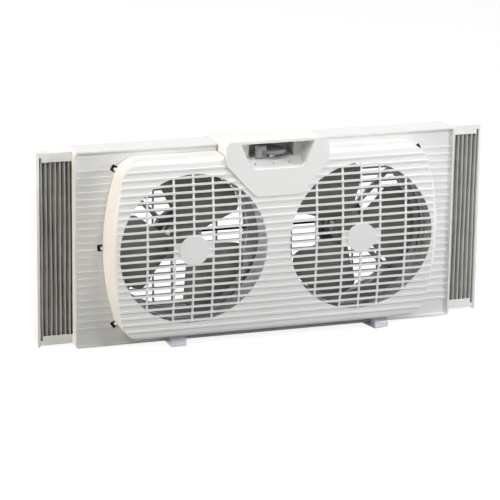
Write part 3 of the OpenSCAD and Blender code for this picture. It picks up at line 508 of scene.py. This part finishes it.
def makeHub(f):
    # hollow at the back, where only its wall and the boss in its middle are left
    hub = newDisc("hub", (0, 0), f["hubR"], f["hubFront"], f["hubBack"], "Y", f["hubCorners"])
    sinkFaces(hub, f["hubWall"], f["hubSlope"], f["hubHollow"], lambda mid, n: n.y > facing)
    rollEdges(hub, f["hubNose"], f["noseSteps"], lambda mid, way: mid.y < f["hubFront"] + hair)
    boss = newDisc("boss", (0, 0), f["bossR"], -f["bossHalf"], f["bossHalf"], "Y", f["bossCorners"])
    return [hub, boss]


def makeImpeller(side, f):
    name = sideNames[side]
    blades = [makeBlade(f)]
    for k in range(1, f["blades"]):
        blades.append(copyOf(blades[0], "blade", spin(360 * k / f["blades"], "Y")))
    whole = joinAll(makeHub(f) + blades, name + "Impeller")
    whole.data.transform(shift(side * fanX, 0, fanZ) @ spin(f["turns"][side], "Y"))
    smooth(whole, angle=40)
    finishPiece(whole, name + "_fan", finishes["blade"], "blade_grey", name + "_impeller")


# hub nuts: a domed nut on each fan with a shallow round recess in its nose
hubNut = {"radius": 0.0109, "front": -0.0203, "back": -0.0115, "corners": 48,
          "dome": 0.0034, "domeSteps": 6, "noseFacing": 0.95,
          "noseRim": 0.0018, "noseSlope": 0.0004, "noseDeep": 0.0007}


def makeHubNut(side, h):
    name = sideNames[side]
    nut = newDisc("nut", (side * fanX, fanZ), h["radius"], h["front"], h["back"], "Y", h["corners"])
    rollEdges(nut, h["dome"], h["domeSteps"], lambda mid, way: mid.y < h["front"] + hair)
    sinkFaces(nut, h["noseRim"], h["noseSlope"], h["noseDeep"], lambda mid, n: n.y < -h["noseFacing"])
    nut.name = name + "SpinnerNut"
    smooth(nut, angle=40)
    finishPiece(nut, name + "_fan", finishes["blade"], "blade_grey", name + "_hub_nut")


for side in sideNames:
    makeImpeller(side, fan)
    makeHubNut(side, hubNut)
print("stage 4: impellers")


# feet: a flat sole that turns up into a rounded hood at each end, and the peg that it turns on
foot = {"width": 0.0248, "front": 0.034, "back": 0.056, "sole": 0.0037, "round": 0.0011,
        "hood": 0.0164, "hoodLen": 0.013, "hoodRoll": 0.93, "rollSteps": 12, "turns": {-1: 0.0, 1: 14.0},
        "pegR": 0.0039, "pegTop": 0.0138, "pegCorners": 48}


def makeFoot(side, f):
    name = sideNames[side]
    x, y = pivots[name + "_foot_swivel"][:2]
    half = f["width"] / 2
    frontHood, backHood = -f["front"] + f["hoodLen"], f["back"] - f["hoodLen"]
    sole = newBlock(name + "Foot", (-half, -f["front"], 0), (half, f["back"], f["sole"]))
    for cutY in (frontHood, backHood):
        editFaces(sole, lambda mid, n: True)
        bpy.ops.mesh.bisect(plane_co=(0, cutY, 0), plane_no=(0, 1, 0))
        endEdit()
    editFaces(sole, lambda mid, n: n.z > facing and (mid.y < frontHood or mid.y > backHood))
    bpy.ops.mesh.extrude_region_move(TRANSFORM_OT_translate={"value": (0, 0, f["hood"] - f["sole"])})
    endEdit()
    # the outer top edges roll over into the hood's curve
    rollEdges(sole, f["hoodLen"] * f["hoodRoll"], f["rollSteps"],
              lambda mid, way: abs(way.x) > facing and mid.z > f["hood"] - reach
              and (mid.y < -f["front"] + reach or mid.y > f["back"] - reach))
    faceOutwards(sole)
    roundEdges(sole, f["round"], segments=3, angle=40)
    peg = newDisc("peg", (0, 0), f["pegR"], f["sole"] - reach, f["pegTop"], corners=f["pegCorners"])
    whole = joinAll([sole, peg], name + "Foot")
    whole.data.transform(shift(x, y, 0) @ spin(f["turns"][side], "Z"))
    smooth(whole, angle=30)
    finishPiece(whole, name + "_foot", finishes["foot"], "foot_lavender", name + "_foot")


for side in sideNames:
    makeFoot(side, foot)
print("stage 5: feet")


# side panels: end rail with a shallow channel down its outer face, and the pleated sheet
rail = {"channelRim": 0.003, "channelSlope": 0.0006, "channelDeep": 0.0006, "round": 0.0008}
pleats = {"from": 0.2643, "to": 0.3487, "low": 0.0087, "high": 0.2993, "front": 0.0125, "back": 0.0255,
          "middle": 0.02, "count": 12, "rows": 24, "crest": 0.2, "valley": 0.06, "thick": 0.0005,
          "edge": 0.00018, "drift": 0.0003, "driftStep": 5.1, "driftWaves": 2.6,
          "ripple": 0.0002, "rippleStep": 3.3, "rippleWaves": 4.0}


def makeEndRail(side, r):
    name = sideNames[side]
    low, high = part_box(name + "_end_rail")
    piece = newBlock(name + "EndRail", low, high)
    sinkFaces(piece, r["channelRim"], r["channelSlope"], r["channelDeep"],
              lambda mid, n: n.x * side > facing)
    roundEdges(piece, r["round"], segments=3, angle=50)
    smooth(piece)
    finishPiece(piece, name + "_panel", finishes["rail"], "housing_white", name + "_end_rail")


def makePleats(side, p):
    # four lines of points a pleat: a flat crest in front and a narrower flat valley at the back
    name = sideNames[side]
    lines = 4 * p["count"]
    pitch = (p["to"] - p["from"]) / p["count"]
    sheet = newGrid(name + "Pleats", lines, p["rows"])
    for vertex in sheet.data.vertices:
        line = int(round((vertex.co.x + 0.5) * lines))
        v = vertex.co.y + 0.5     # 0 at the bottom, 1 at the top
        pleat, step = divmod(line, 4)
        crest = step in (1, 2)
        half = (p["crest"] if crest else p["valley"]) / 2
        along = (half, 0.5 - half, 0.5 + half, 1 - half)[step]
        if line in (0, lines):
            along = 0
        # each pleat strays a little from its place, but the sheet's two ends don't
        drift = p["drift"] * math.sin(p["driftStep"] * pleat + p["driftWaves"] * v * math.pi)
        drift *= min(pleat, p["count"] - pleat, 1)
        ripple = p["ripple"] * math.sin(p["rippleStep"] * pleat + p["rippleWaves"] * v)
        vertex.co = (side * (p["from"] + (pleat + along) * pitch + drift),
                     (p["front"] if crest else p["back"]) + ripple,
                     p["low"] + (p["high"] - p["low"]) * v)
    faceOutwards(sheet)
    thicken(sheet, p["thick"])
    roundEdges(sheet, p["edge"], angle=50)
    smooth(sheet, angle=50)
    sheet.data.materials.append(finishes["pleat"])
    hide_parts(name + "_accordion")
    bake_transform(sheet)


for side in sideNames:
    makeEndRail(side, rail)
    makePleats(side, pleats)
print("stage 6: side panels")


# painted shade: thin dark grey rings inside the ducts, standing in for the shade in the fans' insides
ductShade = {"outer": 0.1138, "inner": 0.1133, "front": -0.0158, "back": 0.0325, "beyond": 0.005,
         "corners": 128}


def makeDuctShade(side, d):
    centre = (side * fanX, fanZ)
    ring = newDisc(sideNames[side] + "DuctLiner", centre, d["outer"], d["front"], d["back"], "Y",
                   d["corners"])
    core = newDisc("core", centre, d["inner"], d["front"] - d["beyond"], d["back"] + d["beyond"], "Y",
                   d["corners"])
    cutOut(ring, core)
    faceOutwards(ring)
    smooth(ring)
    # the dark grey of these rings is painted shade, not the housing's own colour
    finishPiece(ring, "housing", finishes["duct"], "blade_grey")


for side in sideNames:
    makeDuctShade(side, ductShade)


# painted shade: black rings round the slots that the cover's tabs pass through, and a black sheet behind each
# slot, standing in for the shade in the slot holes
seal = {"front": -0.0064, "seat": -0.0060, "inner": 0.0002, "outer": 0.0082, "half": 0.0050, "edge": 0.00015,
        "tabOut": 0.0042, "tabHalf": 0.0022, "padFront": -0.0008, "padBack": -0.0002, "padHalf": 0.008,
        "padOut": 0.004, "sideX": 0.258, "cornerX": 0.2373, "cornerZ": 0.1181, "angle": 31.0}


def makeSlotShade(d):
    # one painted shade ring and sheet for a tab that points along X, with its slot at the origin
    ring = newBlock("seal", (d["inner"], d["front"], -d["half"]), (d["outer"], d["seat"], d["half"]))
    gap = newBlock("gap", (-reach, d["front"] - reach, -d["tabHalf"]),
                   (d["tabOut"], d["seat"] + reach, d["tabHalf"]))
    cutOut(ring, gap)
    roundEdges(ring, d["edge"])
    pad = newBlock("pad", (d["padOut"] - d["padHalf"], d["padFront"], -d["padHalf"]),
                   (d["padOut"] + d["padHalf"], d["padBack"], d["padHalf"]))
    return joinAll([ring, pad], "seal")


def makeSlotShades(d):
    shades = []
    for side in sideNames:
        for step in (-1, 0, 1):
            x = side * (d["cornerX"] if step else d["sideX"])
            angle = step * d["angle"] if side > 0 else 180 - step * d["angle"]
            piece = makeSlotShade(d)
            piece.data.transform(shift(x, 0, fanZ + step * d["cornerZ"]) @ spin(-angle, "Y"))
            shades.append(piece)
    # the black on these rings and sheets is painted shade for the dark slot holes
    finishPiece(joinAll(shades, "tabSeals"), "housing", finishes["foam"], "black_rubber")


makeSlotShades(seal)
# stage 7 builds painted shade: the dark grey rings in the ducts and the black rings and sheets at the tab
# slots
print("stage 7: liners and seals")


# housing screws with cross recesses, seen from the back
screw = {"headR": 0.0034, "headH": 0.0023, "headRound": 0.0009, "roundSteps": 4, "headCorners": 32,
         "seat": 0.042, "shankR": 0.0017, "shankEnd": 0.002, "shankCorners": 24, "overlap": 0.0005,
         "slot": 0.0008, "slotHalf": 0.0021, "deep": 0.0012,
         "places": ((-0.212, 0.048), (0.212, 0.048), (-0.212, 0.264), (0.212, 0.264), (0.0, 0.044),
                    (0.0, 0.22))}


def makeScrews(s):
    top = s["seat"] + s["headH"]
    head = newDisc("screwHead", (0, 0), s["headR"], s["seat"], top, "Y", s["headCorners"])
    rollEdges(head, s["headRound"], s["roundSteps"], lambda mid, way: mid.y > top - hair)
    for x, z in ((s["slotHalf"], s["slot"] / 2), (s["slot"] / 2, s["slotHalf"])):
        cutOut(head, newBlock("recess", (-x, top - s["deep"], -z), (x, top + reach, z)))
    shank = newDisc("shank", (0, 0), s["shankR"], s["shankEnd"] - s["overlap"], s["seat"] + s["overlap"], "Y",
                    s["shankCorners"])
    first = joinAll([head, shank], "screw")
    smooth(first)
    parts = [copyOf(first, "screw", shift(x, 0, z)) for x, z in s["places"]]
    bpy.data.objects.remove(first, do_unlink=True)
    finishPiece(joinAll(parts, "housingScrews"), "housing", finishes["steel"], "steel", "housing_screws")


makeScrews(screw)
print("stage 8: screws")


# floor, light and camera; a lamp is its name, place, size, watts and colour
studio = {"floorSize": 12, "floorRough": 0.9, "floorSeen": "#FFFFFF", "floorBounce": "#8C8C8C",
          "glow": 1.25, "glowShare": 0.7, "worldColour": "#F4F7FF", "worldStrength": 0.10,
          "lampsAim": (0, 0, 0.15),
          "lamps": (("mainFront", (0.35, -1.5, 1.75), (0.35, 0.35), 10.0, "#FFFFFF"),
                    ("topSoft", (0.2, -0.25, 2.3), (0.35, 0.35), 18.0, "#FFFFFF"),
                    ("rightFront", (2.4, -1.4, 1.0), (0.6, 0.6), 40.0, "#F8F9FF"),
                    ("rightHigh", (1.5, -1.2, 2.0), (0.4, 0.4), 6.0, "#FFFFFF"),
                    ("leftWarm", (-2.6, -0.15, 0.75), (0.5, 0.5), 38.0, "#FFF3E0"),
                    ("leftFront", (-1.3, -1.6, 1.8), (0.4, 0.4), 10.0, "#FFFFFF"),
                    ("backSoft", (-1.6, 2.4, 0.8), (0.9, 0.9), 36.0, "#FFFFFF"))}


def seenRays(tree):
    # 1 for rays that are seen straight, in a reflection or through something clear, 0 for bounced light
    path = addNode(tree, "LightPath", (-900, 300))
    total = path.outputs["Is Camera Ray"]
    for ray, place in (("Is Glossy Ray", (-700, 200)), ("Is Transmission Ray", (-550, 100))):
        either = addNode(tree, "Math", place, operation="MAXIMUM")
        tree.links.new(total, either.inputs[0])
        tree.links.new(path.outputs[ray], either.inputs[1])
        total = either.outputs[0]
    return total


def makeFloor(s):
    pickNone()
    bpy.ops.mesh.primitive_plane_add(size=s["floorSize"], location=(0, 0, 0))
    floor = settle("floor")
    material = bpy.data.materials.new("floorWhite")
    material.use_nodes = True
    tree = material.node_tree
    shader = tree.nodes["Principled BSDF"]
    shader.inputs["Roughness"].default_value = s["floorRough"]
    # where it is seen, the floor is lifted to white and keeps a light shadow; to other rays it is mid grey
    seen = seenRays(tree)
    tint = addNode(tree, "MixRGB", (-300, 300), Color1=toLinear(s["floorBounce"]),
                   Color2=toLinear(s["floorSeen"]))
    share = addNode(tree, "Math", (-300, 0), operation="MULTIPLY")
    share.inputs[1].default_value = s["glowShare"]
    glow = addNode(tree, "Emission", (-300, -300), Strength=s["glow"])
    mix = addNode(tree, "MixShader", (200, 0))
    tree.links.new(seen, tint.inputs["Fac"])
    tree.links.new(tint.outputs["Color"], shader.inputs["Base Color"])
    tree.links.new(seen, share.inputs[0])
    tree.links.new(share.outputs[0], mix.inputs["Fac"])
    tree.links.new(shader.outputs[0], mix.inputs[1])
    tree.links.new(glow.outputs[0], mix.inputs[2])
    tree.links.new(mix.outputs[0], tree.nodes["Material Output"].inputs["Surface"])
    floor.data.materials.append(material)


def makeWorld(s):
    # a white backdrop that gives only a little cool light
    world = bpy.data.worlds.new("studioWorld")
    bpy.context.scene.world = world
    world.use_nodes = True
    tree = world.node_tree
    tree.nodes.clear()
    soft = addNode(tree, "Background", (-300, 0), Color=toLinear(s["worldColour"]),
                   Strength=s["worldStrength"])
    white = addNode(tree, "Background", (-300, -200), Color=(1, 1, 1, 1), Strength=1.0)
    mix = addNode(tree, "MixShader", (0, 0))
    out = addNode(tree, "OutputWorld", (200, 0))
    tree.links.new(seenRays(tree), mix.inputs["Fac"])
    tree.links.new(soft.outputs[0], mix.inputs[1])
    tree.links.new(white.outputs[0], mix.inputs[2])
    tree.links.new(mix.outputs[0], out.inputs["Surface"])


def makeLamps(s):
    for name, place, size, watts, colour in s["lamps"]:
        pickNone()
        bpy.ops.object.light_add(type="AREA", location=place)
        lamp = bpy.context.object
        lamp.name = name
        lamp.data.shape = "RECTANGLE"
        lamp.data.size, lamp.data.size_y = size
        lamp.data.energy = watts
        lamp.data.color = toLinear(colour)[:3]
        lamp.rotation_euler = (Vector(s["lampsAim"]) - Vector(place)).to_track_quat("-Z", "Y").to_euler()


# the place and turn that the photograph was taken from; sensor and lens in millimetres
view = {"place": (-1.2217, -3.4893, 1.1967), "azimuth": -18.9247, "elevation": 16.0951, "roll": 0.7946,
        "lens": 182.875, "sensor": 36, "farthest": 50}


def makeCamera(v):
    azimuth, elevation, roll = (math.radians(v[key]) for key in ("azimuth", "elevation", "roll"))
    back = Vector((math.sin(azimuth) * math.cos(elevation), -math.cos(azimuth) * math.cos(elevation),
                   math.sin(elevation)))
    right = Vector((math.cos(azimuth), math.sin(azimuth), 0))
    up = right.cross(-back)
    turned = math.cos(roll) * right + math.sin(roll) * up
    upright = -math.sin(roll) * right + math.cos(roll) * up
    pickNone()
    bpy.ops.object.camera_add(location=v["place"])
    camera = bpy.context.object
    camera.name = "photoCamera"
    camera.data.lens = v["lens"]
    camera.data.sensor_width = v["sensor"]
    camera.data.clip_end = v["farthest"]
    camera.rotation_euler = Matrix((turned, upright, back)).transposed().to_euler()
    bpy.context.scene.camera = camera


makeFloor(studio)
makeWorld(studio)
makeLamps(studio)
makeCamera(view)
bpy.context.scene.view_settings.view_transform = "Standard"
print("stage 9: floor, light and camera")
